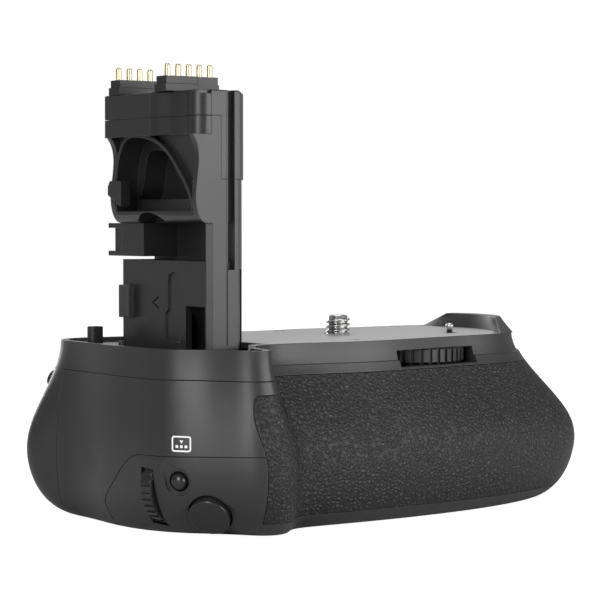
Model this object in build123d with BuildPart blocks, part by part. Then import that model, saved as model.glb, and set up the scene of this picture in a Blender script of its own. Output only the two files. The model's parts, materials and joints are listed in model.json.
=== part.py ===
from build123d import *
import math
import os

# Battery grip for a digital camera. Millimetres; the origin is the camera screw's axis on the
# seating plane, +X runs to the magazine end, -Y is the leather side, +Z points up to the camera.

os.makedirs("parts", exist_ok=True)

# Driving sizes of the body
body_length = 139.5
body_depth = 80.0
body_height = 43.5
waist_drop = 27.0
collar_height = 7.3
wall = 2.6
seam_y = 16.5
rubber_right = 57.0
overrun = 1.0
seam_gap = 0.12

# Outlines of the body seen from above, at the seat, at its widest and at the base
seat_outline_shares = [
    (0.000, 0.304), (-0.251, 0.312), (-0.387, 0.338), (-0.455, 0.335), (-0.491, 0.280),
    (-0.505, 0.150), (-0.513, -0.075), (-0.511, -0.250), (-0.495, -0.369), (-0.461, -0.440),
    (-0.436, -0.512), (-0.407, -0.575), (-0.384, -0.581), (-0.366, -0.531), (-0.353, -0.450),
    (-0.315, -0.404), (-0.158, -0.419), (0.000, -0.394), (0.143, -0.348), (0.237, -0.315),
    (0.301, -0.247), (0.355, -0.131), (0.387, -0.013), (0.401, 0.113), (0.387, 0.231),
    (0.330, 0.287), (0.172, 0.300),
]
waist_outline_shares = [
    (0.000, 0.356), (-0.272, 0.356), (-0.430, 0.388), (-0.513, 0.379), (-0.548, 0.319),
    (-0.522, 0.194), (-0.523, -0.037), (-0.523, -0.237), (-0.509, -0.381), (-0.473, -0.475),
    (-0.441, -0.550), (-0.409, -0.608), (-0.366, -0.624), (-0.327, -0.591), (-0.303, -0.531),
    (-0.251, -0.521), (-0.108, -0.525), (0.057, -0.512), (0.201, -0.475), (0.315, -0.422),
    (0.394, -0.362), (0.437, -0.281), (0.454, -0.150), (0.457, 0.050), (0.448, 0.225),
    (0.394, 0.331), (0.201, 0.356),
]
base_outline_shares = [
    (0.000, 0.263), (-0.244, 0.269), (-0.387, 0.300), (-0.441, 0.294), (-0.473, 0.225),
    (-0.484, 0.106), (-0.490, -0.062), (-0.477, -0.212), (-0.437, -0.331), (-0.401, -0.394),
    (-0.376, -0.450), (-0.358, -0.487), (-0.337, -0.500), (-0.312, -0.481), (-0.283, -0.438),
    (-0.215, -0.419), (-0.086, -0.425), (0.057, -0.412), (0.186, -0.375), (0.280, -0.319),
    (0.337, -0.256), (0.373, -0.163), (0.391, -0.050), (0.396, 0.075), (0.384, 0.188),
    (0.330, 0.250), (0.172, 0.263),
]
upper_level_shares = [0, 0.16, 0.32, 0.5, 0.68, 0.84]
lower_level_count = 5


def outline(table):
    """A table of shares as points in millimetres."""
    return [(x * body_length, y * body_depth) for x, y in table]


def blend(first, second, share):
    """Points that lie a share of the way from the first outline to the second."""
    return [
        (a[0] + (b[0] - a[0]) * share, a[1] + (b[1] - a[1]) * share)
        for a, b in zip(first, second)
    ]


def inset(points, distance):
    """The outline moved inwards, each point along its own normal."""
    moved = []
    for i, (x, y) in enumerate(points):
        before, after = points[i - 1], points[(i + 1) % len(points)]
        along = (after[0] - before[0], after[1] - before[1])
        size = math.hypot(*along)
        moved.append((x - along[1] / size * distance, y + along[0] / size * distance))
    return moved


def body_levels(margin, top_margin):
    """Drop and outline of each section, from the seat to the base, moved in by a margin."""
    seat = outline(seat_outline_shares)
    waist = outline(waist_outline_shares)
    base = outline(base_outline_shares)
    levels = []
    for share in upper_level_shares:
        swell = share * share * (3 - 2 * share)
        drop = top_margin + (waist_drop - top_margin) * share
        levels.append((drop, blend(seat, waist, swell)))
    lower = body_height - margin - waist_drop
    for step in range(lower_level_count + 1):
        turn = math.pi / 2 * step / lower_level_count
        levels.append((waist_drop + lower * math.sin(turn), blend(base, waist, math.cos(turn))))
    return [(drop, inset(points, margin)) for drop, points in levels]


def body_form(margin, top_margin):
    """The whole body as one solid, moved in by a margin at its sides and base, and at its top."""
    with BuildPart() as form:
        for drop, points in body_levels(margin, top_margin):
            with BuildSketch(Plane.XY.offset(-drop)):
                with BuildLine():
                    Spline(*points, periodic=True)
                make_face()
        loft()
    return form.part


def span_box(x_span, y_span, z_span, mode=Mode.ADD):
    """Box between two limits on each axis, in the piece being made."""
    spans = (x_span, y_span, z_span)
    with Locations(Vector(*[(low + high) / 2 for low, high in spans])):
        Box(*[high - low for low, high in spans], mode=mode)


def rod(plane, radius, low, high, mode=Mode.ADD):
    """Cylinder about a plane's axis, between two heights over the plane."""
    with Locations(plane.offset((low + high) / 2)):
        Cylinder(radius, high - low, mode=mode)


def upright(x, y):
    """Level plane at a place on the seating plane."""
    return Plane(origin=(x, y, 0))


rubber_thickness = 1.3
panel_thickness = 1.4
band_step = 0.5
band_height = 5.0

envelope = body_form(0, 0)
under_band = body_form(band_step, 0)
under_rubber = body_form(rubber_thickness, rubber_thickness)
under_panel = body_form(panel_thickness, panel_thickness)
hollow = body_form(wall, wall)
far = body_length


def skin_plane(start, towards):
    """Plane on the body's skin, facing out, where a line from outside first meets it."""
    point, normal = envelope.find_intersection_points(Axis(start, towards))[0]
    return Plane(origin=point, x_dir=Axis.Z.direction.cross(normal), z_dir=normal)


# The control corner is drawn on an upright plane that faces the hand
corner_turn = math.radians(35.4)
corner_out = Vector(-math.sin(corner_turn), -math.cos(corner_turn), 0)
corner_x = Vector(math.cos(corner_turn), -math.sin(corner_turn), 0)
corner_reach = 90.0
corner_depth = 38.0
nose_depth = 56.0
corner = Plane(origin=corner_out * corner_reach, x_dir=corner_x, z_dir=corner_out)


def on_corner(along_share, drop_share):
    """Skin plane at a place on the control corner, in shares of the body's length and height."""
    place = Vector(along_share * body_length, -drop_share * body_height, 0)
    return skin_plane(corner.from_local_coords(place), -corner_out)


def corner_points(table):
    """Shares of the body's length and height as points on the corner plane."""
    return [(x * body_length, -z * body_height) for x, z in table]


# Control panel and nose rubber: their edges as seen on the corner plane
panel_edge_shares = [
    (-0.333, 0.570), (-0.346, 0.582), (-0.364, 0.637), (-0.388, 0.763), (-0.400, 0.860),
    (-0.391, 0.936), (-0.360, 1.080),
]
panel_crown_shares = [(0.060, 0.545), (-0.194, 0.560), (-0.333, 0.570)]
nose_edge_shares = [
    (-0.143, 0.258), (-0.140, 0.405), (-0.126, 0.533), (-0.121, 0.736), (-0.130, 0.915),
    (-0.145, 1.080),
]
nose_crown_shares = [(0.060, 0.235), (-0.110, 0.238), (-0.136, 0.240), (-0.143, 0.258)]
corner_end_share = (0.060, 1.080)
nose_side_x = -43.4
skin_gap = 0.12
panel_clear = 2.0


def corner_region(edge, crown, depth, gap):
    """Solid behind an outline on the corner plane, down to a depth, less a gap round it."""
    points = inset(corner_points([*edge, corner_end_share, *crown[:-1]]), gap)
    with BuildPart() as region:
        with BuildSketch(corner):
            with BuildLine():
                Spline(*points[:len(edge)])
                Polyline(*points[len(edge) - 1:], points[0])
            make_face()
        extrude(amount=depth - corner_reach)
    return region.part


panel_region = corner_region(panel_edge_shares, panel_crown_shares, corner_depth, 0)
panel_shape = corner_region(panel_edge_shares, panel_crown_shares, corner_depth, skin_gap)
nose_region = corner_region(nose_edge_shares, nose_crown_shares, nose_depth, 0)
nose_shape = corner_region(nose_edge_shares, nose_crown_shares, nose_depth, skin_gap)

# Tower: it fills the camera's battery chamber
tower_depth = 38.4
tower_thickness = 21.0
tower_height = 59.2
tower_right = -43.0
tower_front = -30.0
tower_back = tower_front + tower_depth
cap_left = tower_right - tower_thickness
web_left = -59.0
tower_corner_x = -50.3
tower_corner_y = -20.5
well_gap = 0.5
flange_side = 2.5
flange_ahead = 1.5
flange_left = web_left - flange_side
flange_right = tower_right + flange_side
flange_front = tower_front - flange_ahead
flange_back = tower_back + flange_side
flange_thickness = 2.6
flange_gap = 0.02
flange_top = -collar_height - flange_gap
flange_bottom = flange_top - flange_thickness
flange_x = (flange_left, flange_right)
flange_y = (flange_front, flange_back)
well_x = (web_left - well_gap, tower_right + well_gap)
well_y = (tower_front - well_gap, tower_back + well_gap)

frame_step = 0.45
frame_chamfer = 1.1
head_bottom = 49.0
head_gap = 0.1
cap_floor = 53.3
sleeve_left = -55.5
sleeve_bottom = 38.6
sleeve_thickness = 0.8
frame_right = tower_right - frame_step
frame_plan = [
    (web_left, tower_front + frame_chamfer), (web_left + frame_chamfer, tower_front),
    (tower_corner_x - frame_step, tower_front), (frame_right, tower_corner_y),
    (frame_right, tower_back), (web_left, tower_back),
]
post_profile_shares = [
    (-0.976, 0.828), (-0.924, 0.608), (-0.900, 0.520), (-0.852, 0.490), (-0.762, 0.480),
]
cap_curve_shares = [
    (-1.000, -0.313), (-0.971, -0.404), (-0.895, -0.490), (-0.871, -0.573), (-0.886, -0.664),
    (-0.905, -0.716), (-0.833, -0.771), (-0.714, -0.781),
]
pocket_floor_x = -60.6
pocket_y = (tower_front + 1.6, tower_back - 1.8)
pocket_bottom = 31.2
arch_floor_x = -56.0
inner_arch_floor_x = -50.0
arch_shares = [
    (0.167, 0.527), (0.161, 0.666), (0.135, 0.738), (0.052, 0.812), (-0.104, 0.824),
    (-0.268, 0.806), (-0.432, 0.755), (-0.568, 0.674), (-0.680, 0.586), (-0.716, 0.527),
]
arch_lip = 0.9
arch_lip_x = -62.0
inner_arch_inset = 3.0
scoop_radius = 10.0
scoop_y = -8.0
scoop_top = 31.0
slot_z = (19.6, 28.4)
slot_floor_x = -50.0
slot_front = -28.6
frame_wall = 1.8
cavity_top = 17.6
board_thickness = 0.8
board_x = -45.8
board_y = (-15.0, 0.0)
board_room = 0.2
board_top = 57.6
lug_shares = [(0.188, 0.652), (0.213, 0.628), (0.213, 0.595), (0.055, 0.546), (0.055, 0.650)]
lug_x = -63.4
key_slot_x = (-53.3, -51.8)
key_strip_left = -54.0
key_slot_depth = 1.5
key_strip_depth = 0.5
key_slot_bottom = 17.6
key_strip_bottom = 19.2
groove_width = 0.22
mark_depth = 0.4
panel_mark_shares = [
    (-0.318, 0.245), (-0.318, 0.132), (-0.286, 0.118), (-0.286, 0.025), (-0.307, 0.010),
    (-0.443, 0.005), (-0.508, 0.068), (-0.521, 0.169), (-0.482, 0.253), (-0.391, 0.287),
    (-0.333, 0.274),
]
arrow_shares = [
    (-0.130, 0.160), (-0.208, 0.186), (-0.208, 0.176), (-0.148, 0.160), (-0.208, 0.144),
    (-0.208, 0.134),
]
notch_y = (-28.4, -20.0)
notch_z = (-6.0, 9.0)
notch_floor_x = -55.0
leaf_thickness = 0.5
leaf_top_x = -58.4
leaf_middle = (-55.8, 3.0)
leaf_bottom = (-57.4, -5.4)
leaf_curve = [(leaf_top_x, notch_z[1]), leaf_middle, leaf_bottom]
pad_y = (3.0, 7.5)
pad_z = (5.5, 13.4)
pad_thickness = 2.0
pad_edge = 0.5
clip_front = -2.0
clip_left = -59.5
clip_reach = 14.5
clip_flange = 1.2
clip_flange_right = -56.0
clip_z = (20.4, 28.4)
top_notch_x = (-61.3, -58.2)
top_notch_depth = 0.9
block_step = 0.35
block_base_height = 1.8
block_height = 3.6
rear_block_x = (-64.0, -52.5)
rear_block_y = (1.5, 6.5)
front_block_x = (-64.0, -48.5)
front_block_y = (-19.5, -14.5)
front_block_step_x = -55.0
front_block_step = 1.0
pin_pitch = 2.94
pin_count_rear = 4
pin_count_front = 5
rear_pin_place = (-62.7, 4.0)
front_pin_place = (-62.0, -17.0)
contact_radius = 0.675
contact_z = (60.7, 65.8)
contact_travel = 1.0
contact_hole_bottom = 59.5
contact_round = 0.45
cap_edge = 0.25

# Seat of the camera: collar on the left, plate on the deck, guard at the right end
collar_right = -48.5
rim_drop = 0.4
rim_width = 1.8
collar_floor_drop = 1.6
collar_roof = 2.6
plate_thickness = 1.2
plate_margin = 1.0
plate_gap = 0.15
guard_height = 3.5
guard_root = 0.3
guard_inset = 0.1
guard_foot_inner_shares = [
    (0.237, -0.315), (0.315, -0.150), (0.333, 0.050), (0.320, 0.200), (0.287, 0.292),
]
plate_end_shares = [
    (0.215, -0.335), (0.256, -0.245), (0.301, -0.150), (0.324, 0.050), (0.312, 0.195),
    (0.303, 0.310),
]
guard_ridge_inner_shares = [(0.318, -0.128), (0.350, 0.040), (0.342, 0.178)]
guard_ridge_outer_shares = [
    (0.318, -0.128), (0.352, -0.082), (0.376, 0.020), (0.384, 0.110), (0.368, 0.188),
    (0.342, 0.178),
]
guard_start, guard_end = 19, 26

seat_outline = outline(seat_outline_shares)
guard_foot_outer = inset(seat_outline, guard_inset)[guard_start:guard_end]
guard_foot_inner = outline(guard_foot_inner_shares)
plate_end = outline(plate_end_shares)

with BuildPart() as end_guard:
    with BuildSketch(Plane.XY.offset(-guard_root)):
        with BuildLine():
            Spline(guard_foot_outer[0], *guard_foot_inner[1:-1], guard_foot_outer[-1])
            Spline(*guard_foot_outer)
        make_face()
    with BuildSketch(Plane.XY.offset(guard_height)):
        with BuildLine():
            Spline(*outline(guard_ridge_inner_shares))
            Spline(*outline(guard_ridge_outer_shares))
        make_face()
    loft()

with BuildPart() as guard_zone:
    with BuildSketch(Plane.XY.offset(-plate_thickness)):
        with BuildLine():
            edge = Spline(*plate_end)
            Polyline(edge @ 1, (far, plate_end[-1][1]), (far, plate_end[0][1]), edge @ 0)
        make_face()
    extrude(amount=plate_thickness + overrun)

with BuildPart() as plate_recess:
    with BuildSketch(Plane.XY.offset(-plate_thickness)):
        with BuildLine():
            Spline(*inset(seat_outline, plate_margin - plate_gap), periodic=True)
        make_face()
    extrude(amount=plate_thickness + overrun)
    split(bisect_by=Plane.YZ.offset(collar_right), keep=Keep.TOP)
    add(guard_zone.part, mode=Mode.SUBTRACT)

with BuildPart() as collar_recess:
    with BuildSketch(Plane.XY.offset(-collar_floor_drop)):
        with BuildLine():
            Spline(*inset(seat_outline, rim_width), periodic=True)
        make_face()
    extrude(amount=collar_floor_drop + overrun)

# Fasteners, pin and pegs
screw_shank_radius = 0.8
screw_head_radius = 1.5
screw_gap = 0.1
screw_sink = 0.1
plate_head_radius = 1.5
plate_head_height = 0.6
plate_screw_bottom = -2.5
plate_screw_shares = [(-0.040, 0.2275), (-0.100, -0.3225), (0.244, 0.250)]
plate_screw_places = outline(plate_screw_shares)
pin_place = (26.0, -13.6)
pin_radius = 0.85
pin_shank_radius = 0.5
pin_ring_radius = 2.2
pin_height = 2.4
pin_chamfer = 0.5
peg_place = (-66.0, 10.0)
peg_length = 3.4
peg_width = 2.8
peg_corner = 0.7
peg_edge = 0.3
peg_height = 3.3
stud_place = (-65.5, -2.0)
stud_radius = 0.9
stud_height = 0.3
tower_screw_top = -4.6
tower_head_radius = 1.2
tower_head_top = flange_bottom + 0.9
tower_screw_inset = 1.3
tower_screw_places = [
    (flange_left + tower_screw_inset, flange_back - tower_screw_inset),
    (flange_left + tower_screw_inset, tower_front + 2 * tower_screw_inset),
    (flange_right - tower_screw_inset, flange_back - tower_screw_inset),
    (flange_right - tower_screw_inset, tower_corner_y + tower_screw_inset),
]

# Base cover, in a recess with a ledge all round
base_cover_x = (-52.0, 42.0)
base_cover_y = (-22.0, 12.0)
base_cover_corner = 6.0
base_cover_thickness = 1.4
base_ledge = 5.0
base_cover_gap = 0.12
base_screw_inset = 3.4
base_screw_places = [
    (x, y)
    for x in (base_cover_x[0] + base_screw_inset, base_cover_x[1] - base_screw_inset)
    for y in (base_cover_y[0] + base_screw_inset, base_cover_y[1] - base_screw_inset)
]
base_head_height = 0.8
base_head_top = -body_height + base_head_height
base_shank_top = -body_height + wall
socket_radius = 4.8
socket_flange_radius = 6.5
socket_flange_bottom = -body_height + base_cover_thickness
socket_top = -38.3
socket_roof = 0.5
socket_chamfer = 0.4
tripod_bore_radius = 3.2

# Battery magazine: a tray with two bays, and the cover that closes the end of the body
bay_length = 57.1
bay_width = 38.8
bay_depth = 21.0
bay_corner = 1.3
tray_wall = 0.7
tray_side = 0.9
tray_floor = 0.7
tray_corner = 2.0
tray_right = 52.0
tray_top = -14.7
tray_y = 1.9
tray_left = tray_right - 2 * bay_length - 3 * tray_wall
tray_width = bay_width + 2 * tray_side
tray_height = bay_depth + tray_floor
tray_z = tray_top - tray_height / 2
chamber_gap = 0.3
chamber_wall = 1.2
chamber_right = 40.0
chamber_feet_x = (-38.0, 30.0)
chamber_feet_y = (-12.0, 2.0)
chamber_foot_radius = 3.0
chamber_end_room = 1.3
chamber_left = tray_left - chamber_end_room
cover_left = 53.0
cover_margin = 0.6
cover_corner = 3.6
cover_gap = 0.25
seal_wall = 2.2
seal_gap = 0.2
knob_y = 2.0
knob_z = -25.0
knob_radius = 7.0
knob_gap = 0.3
knob_x = (60.6, 61.9)
knob_edge = 0.3
knob_grip_share = 0.9
knob_grip_width = 2.6
knob_grip_top = 63.4
knob_shaft_radius = 2.0
latch_x = (53.4, 54.9)
latch_width = 5.0
latch_reach = 13.0
latch_room = 0.4
keeper_x = (55.1, 58.5)
keeper_y = (-1.0, 5.0)
keeper_z = (-13.6, -11.2)


def tray_section(start, end, margin, corner, mode=Mode.ADD):
    """Bar with the tray's section, grown by a margin, between two places along the body."""
    with BuildSketch(Plane.YZ.offset(start)) as section:
        with Locations((tray_y, tray_z)):
            RectangleRounded(tray_width + 2 * margin, tray_height + 2 * margin, corner)
    extrude(section.sketch, amount=end - start, mode=mode)


chamber_margin = chamber_gap + chamber_wall
with BuildPart() as cover_opening:
    tray_section(cover_left - overrun, far, cover_margin + cover_gap, cover_corner + cover_gap)

with BuildPart() as chamber_form:
    tray_section(chamber_left - chamber_wall, chamber_right, chamber_margin, tray_corner + chamber_margin)

with BuildPart() as magazine_way:
    add(chamber_form.part)
    tray_section(chamber_left, cover_left, chamber_gap, tray_corner + chamber_gap)
    add(cover_opening.part)

# Locking dial and camera screw, geared together
screw_radius = 3.175
screw_height = 4.8
screw_hole_radius = 3.4
dial_radius = 14.2
dial_z = (-6.4, -2.8)
gear_bottom = -8.9
gear_module = 0.8
dial_teeth = 30
screw_teeth = 18
gear_gap = 0.05
gear_reach = gear_module * (dial_teeth + screw_teeth) / 2 + gear_gap
gear_turn = math.radians(-59.7)
dial_x = gear_reach * math.cos(gear_turn)
dial_y = gear_reach * math.sin(gear_turn)
dial_room = 0.3
dial_axis = upright(dial_x, dial_y)
window_x = 8.0
window_y = -29.9
window_turn = 10.5
window_length = 28.6
window_depth = 8.0
window_z = (-6.7, -2.7)
dial_gear_radius = gear_module * (dial_teeth / 2 + 1)

screw_shaft_radius = 3.0
screw_chamfer = 0.5
screw_flange_radius = 3.9
screw_flange_z = (-3.4, -2.8)
screw_gear_thickness = 2.1
pivot_radius = 1.5
dial_axle_radius = 2.0
dial_chamfer = 0.25
dial_knurls = 38
knurl_depth = 0.6
knurl_width = 0.9
gear_root_share = 1.15
gear_tip_share = 0.85
gear_foot_share = 0.30
gear_crest_share = 0.10
carrier_z = (-10.8, -9.6)
carrier_post_radius = 1.8
carrier_post_shares = [(-0.079, 0.038), (0.079, 0.075), (-0.068, -0.175)]
carrier_posts = outline(carrier_post_shares)
carrier_shares = [(-0.100, 0.075), (0.086, 0.113), (0.122, -0.225), (0.057, -0.275), (-0.086, -0.225)]
carrier_outline = outline(carrier_shares)

# Buttons: each cap has a flange behind the shell, and a housing with its switch
button_seat = 2.0
button_gap = 0.3
button_play = 0.1
button_flange = 0.7
button_flange_margin = 0.7
button_bore_margin = 1.0
button_travel = 0.8
switch_height = 1.0
housing_wall = 0.6
switch_top = -button_seat - button_play - button_flange - button_travel - button_play
housing_floor = switch_top - switch_height
housing_end = housing_floor - housing_wall
rear_z = -8.6
rear_b_x = -43.0
rear_c_x = -33.0
lever_x = -19.0
forward = Vector(0, -1, 0)
rear_a_place = Vector(-67.5, 27.0, -10.5)
rear_a_way = Vector(0.55, -0.83, 0)

shutter_plane = on_corner(-0.216, 0.876)
function_plane = on_corner(-0.269, 0.701)
rear_a_plane = skin_plane(rear_a_place - rear_a_way * (far / 2), rear_a_way)
rear_b_plane = skin_plane(Vector(rear_b_x, far, rear_z), forward)
rear_c_plane = skin_plane(Vector(rear_c_x, far, rear_z), forward)
lever_plane = skin_plane(Vector(lever_x, far, rear_z), forward)

# Each button's place, radius, and how far it stands proud
shutter_radius = 4.9
shutter_proud = 1.1
function_radius = 2.1
function_proud = 0.6
corner_radius = 2.0
corner_proud = 1.2
rear_radius = 2.8
rear_proud = 1.0
buttons = {
    "shutter_button": (shutter_plane, shutter_radius, shutter_proud),
    "function_button": (function_plane, function_radius, function_proud),
    "rear_button_a": (rear_a_plane, corner_radius, corner_proud),
    "rear_button_b": (rear_b_plane, rear_radius, rear_proud),
    "rear_button_c": (rear_c_plane, rear_radius, rear_proud),
}
dish_radius = 32.0
dish_depth = 0.7
function_dish_radius = 3.3
function_dish_depth = 0.8
function_dish_tip = 6.2

button_round = 0.4
dome_share = 0.85
switch_share = 0.75

# Main dial on the control corner
wheel_radius = 9.0
wheel_proud = 1.4
wheel_thickness = 3.6
wheel_side_room = 0.4
wheel_room = 0.5
wheel_skin = on_corner(-0.317, 0.793)
wheel_centre = wheel_skin.origin - wheel_skin.z_dir * (wheel_radius - wheel_proud)
wheel_plane = Plane(origin=wheel_centre, x_dir=wheel_skin.z_dir, z_dir=wheel_skin.x_dir)
wheel_axle_radius = 1.2
wheel_axle_length = 6.8
cheek_thickness = 1.1
wheel_edge = 0.3
wheel_knurls = 34
wheel_knurl_depth = 0.45
wheel_knurl_width = 0.75

# Power lever on the rear
lever_radius = 4.6
lever_room = 0.4
lever_pad_depth = 0.8
lever_shaft_radius = 1.5
lever_proud = 0.6
lever_reach = 4.2
lever_bore_depth = 5.0
lever_keep_radius = 2.8
lever_keep_height = 1.0
lever_fin_height = 1.4
lever_fin_width = 1.6
fin_share = 0.8
running_gap = 0.05

# Contacts and circuit board of the battery chamber
strip_count = 4
strip_pitch = 5.0
strip_width = 2.4
strip_height = 9.0
strip_thickness = 0.3
strip_room = 0.25
main_board_x = (-38.0, 34.0)
main_board_y = (-6.0, 15.0)
board_post_height = 0.5
board_post_radius = 1.2
board_inset = 3.0


def button_cuts():
    """Holes for the button caps, and the flat seats behind them."""
    for plane, radius, proud in buttons.values():
        rod(plane, radius + button_gap, housing_end, wall, mode=Mode.SUBTRACT)
        rod(plane, radius + button_bore_margin, housing_end, -button_seat, mode=Mode.SUBTRACT)


def wheel_cut():
    """Slot for the main dial."""
    half = wheel_thickness / 2 + wheel_side_room
    rod(wheel_plane, wheel_radius + wheel_room, -half, half, mode=Mode.SUBTRACT)


def lever_cuts():
    """Recess for the lever's pad, and the hole for its shaft."""
    rod(lever_plane, lever_radius + lever_room, -lever_pad_depth, wall, mode=Mode.SUBTRACT)
    rod(lever_plane, lever_shaft_radius + running_gap, -lever_bore_depth, wall, mode=Mode.SUBTRACT)


# Regions of the skins
rubber_top = -collar_height
rubber_bottom = -40.0
rubber_rear = -15.0

with BuildPart() as rubber_zone:
    span_box((nose_side_x, rubber_right), (-far, rubber_rear), (rubber_bottom, rubber_top))
    add(under_rubber, mode=Mode.SUBTRACT)

with BuildPart() as nose_zone:
    add(nose_region)
    split(bisect_by=Plane.XY.offset(rubber_bottom), keep=Keep.TOP)
    split(bisect_by=Plane.YZ.offset(nose_side_x), keep=Keep.BOTTOM)
    add(under_rubber, mode=Mode.SUBTRACT)


def base_corner_cut(margin):
    """Keeps the panel's skin clear of the base cover."""
    clear_x = (base_cover_x[0] - margin, far)
    clear_y = (base_cover_y[0] - margin, far)
    span_box(clear_x, clear_y, (-far, -body_height + wall), mode=Mode.SUBTRACT)


with BuildPart() as panel_zone:
    add(panel_region)
    base_corner_cut(panel_clear)
    add(nose_region, mode=Mode.SUBTRACT)
    split(bisect_by=Plane.YZ.offset(nose_side_x), keep=Keep.BOTTOM)
    add(under_panel, mode=Mode.SUBTRACT)

with BuildPart() as band_zone:
    span_box((collar_right, far), (-far, far), (-band_height, overrun))
    add(under_band, mode=Mode.SUBTRACT)

with BuildPart() as collar_cavity:
    add(hollow)
    split(bisect_by=Plane.XY.offset(-collar_floor_drop - collar_roof), keep=Keep.BOTTOM)
    split(bisect_by=Plane.XY.offset(-collar_height - overrun), keep=Keep.TOP)
    span_box(flange_x, flange_y, (-far, 0), mode=Mode.SUBTRACT)

# The body's wall, before it is parted into shells
collar_block_x = (-far, collar_right + seam_gap)
collar_block_z = (-collar_height - seam_gap, overrun)
with BuildPart() as body_wall:
    add(envelope)
    add(band_zone.part, mode=Mode.SUBTRACT)
    add(plate_recess.part, mode=Mode.SUBTRACT)
    add(end_guard.part)
    add(hollow, mode=Mode.SUBTRACT)
    span_box((collar_right, flange_right), flange_y, (-collar_height, -wall))
    span_box(collar_block_x, (-far, far), collar_block_z, mode=Mode.SUBTRACT)
    span_box(well_x, well_y, (-collar_height - overrun, overrun), mode=Mode.SUBTRACT)
    add(magazine_way.part, mode=Mode.SUBTRACT)

with BuildPart() as front_shell:
    add(body_wall.part)
    shell_z = (-far, -collar_height + seam_gap)
    span_box((-far, far), (seam_y - seam_gap / 2, far), shell_z, mode=Mode.SUBTRACT)
    add(rubber_zone.part, mode=Mode.SUBTRACT)
    add(nose_zone.part, mode=Mode.SUBTRACT)
    add(panel_zone.part, mode=Mode.SUBTRACT)
    button_cuts()
    lever_cuts()
    wheel_cut()
    with Locations(Plane(origin=(window_x, window_y, 0)).rotated((0, 0, window_turn))):
        with Locations((0, 0, sum(window_z) / 2)):
            Box(window_length, window_depth, window_z[1] - window_z[0], mode=Mode.SUBTRACT)
    rod(dial_axis, dial_radius + dial_room, *window_z, mode=Mode.SUBTRACT)
    gear_room = dial_gear_radius + dial_room
    rod(dial_axis, gear_room, gear_bottom - dial_room, window_z[0], mode=Mode.SUBTRACT)
    rod(upright(0, 0), screw_hole_radius, -wall - overrun, overrun, mode=Mode.SUBTRACT)
    rod(upright(*pin_place), pin_shank_radius, -wall, overrun, mode=Mode.SUBTRACT)
    for place in plate_screw_places:
        rod(upright(*place), screw_shank_radius, plate_screw_bottom, overrun, mode=Mode.SUBTRACT)
    for place in tower_screw_places[2:]:
        rod(upright(*place), screw_shank_radius, flange_bottom, tower_screw_top, mode=Mode.SUBTRACT)
    for place in base_screw_places:
        rod(upright(*place), screw_shank_radius, -far, base_shank_top, mode=Mode.SUBTRACT)
    with BuildSketch(Plane.XY.offset(-body_height)):
        base_middle = (sum(base_cover_x) / 2, sum(base_cover_y) / 2)
        base_length = base_cover_x[1] - base_cover_x[0]
        base_width = base_cover_y[1] - base_cover_y[0]
        with Locations(base_middle):
            RectangleRounded(base_length, base_width, base_cover_corner)
    extrude(amount=base_cover_thickness, mode=Mode.SUBTRACT)
    with BuildSketch(Plane.XY.offset(-body_height)):
        with Locations(base_middle):
            Rectangle(base_length - 2 * base_ledge, base_width - 2 * base_ledge)
    extrude(amount=wall + overrun, mode=Mode.SUBTRACT)
    span_box(keeper_x, keeper_y, keeper_z)
front_shell.part.label = "front_shell"
export_step(front_shell.part, "parts/front_shell.step")

with BuildPart() as rear_shell:
    add(body_wall.part)
    rear_z = (-far, -collar_height)
    span_box((-far, far), (seam_y + seam_gap / 2, far), rear_z, mode=Mode.INTERSECT)
    button_cuts()
    lever_cuts()
rear_shell.part.label = "rear_shell"
export_step(rear_shell.part, "parts/rear_shell.step")

with BuildPart() as base_cover:
    with BuildSketch(Plane.XY.offset(-body_height)):
        with Locations(base_middle):
            RectangleRounded(
                base_length - 2 * base_cover_gap, base_width - 2 * base_cover_gap,
                base_cover_corner - base_cover_gap,
            )
    extrude(amount=base_cover_thickness)
    rod(upright(0, 0), socket_radius, -body_height - overrun, 0, mode=Mode.SUBTRACT)
    for place in base_screw_places:
        rod(upright(*place), screw_head_radius, -far, base_head_top, mode=Mode.SUBTRACT)
        rod(upright(*place), screw_shank_radius, -body_height, 0, mode=Mode.SUBTRACT)
base_cover.part.label = "base_cover"
export_step(base_cover.part, "parts/base_cover.step")

with BuildPart() as tripod_socket:
    rod(upright(0, 0), socket_radius, -body_height, socket_flange_bottom)
    rod(upright(0, 0), socket_flange_radius, socket_flange_bottom, socket_top)
    bore_top = socket_top - socket_roof
    rod(upright(0, 0), tripod_bore_radius, -body_height - overrun, bore_top, mode=Mode.SUBTRACT)
    rings = tripod_socket.edges().filter_by(GeomType.CIRCLE).group_by(Axis.Z)[0]
    chamfer(rings.sort_by(SortBy.RADIUS)[0], socket_chamfer)
tripod_socket.part.label = "tripod_socket"
export_step(tripod_socket.part, "parts/tripod_socket.step")

with BuildPart() as base_screws:
    for place in base_screw_places:
        rod(upright(*place), screw_head_radius - screw_gap, -body_height + screw_sink, base_head_top)
        rod(upright(*place), screw_shank_radius, base_head_top, base_shank_top)
base_screws.part.label = "base_screws"
export_step(base_screws.part, "parts/base_screws.step")

with BuildPart() as grip_collar:
    add(envelope)
    split(bisect_by=Plane.YZ.offset(collar_right), keep=Keep.BOTTOM)
    split(bisect_by=Plane.XY.offset(-collar_height), keep=Keep.TOP)
    split(bisect_by=Plane.XY.offset(-rim_drop), keep=Keep.BOTTOM)
    add(collar_recess.part, mode=Mode.SUBTRACT)
    add(collar_cavity.part, mode=Mode.SUBTRACT)
    span_box(well_x, well_y, (-collar_height - overrun, overrun), mode=Mode.SUBTRACT)
    for place in tower_screw_places[:2]:
        rod(upright(*place), screw_shank_radius, -collar_height, tower_screw_top, mode=Mode.SUBTRACT)
grip_collar.part.label = "grip_collar"
export_step(grip_collar.part, "parts/grip_collar.step")

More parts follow.
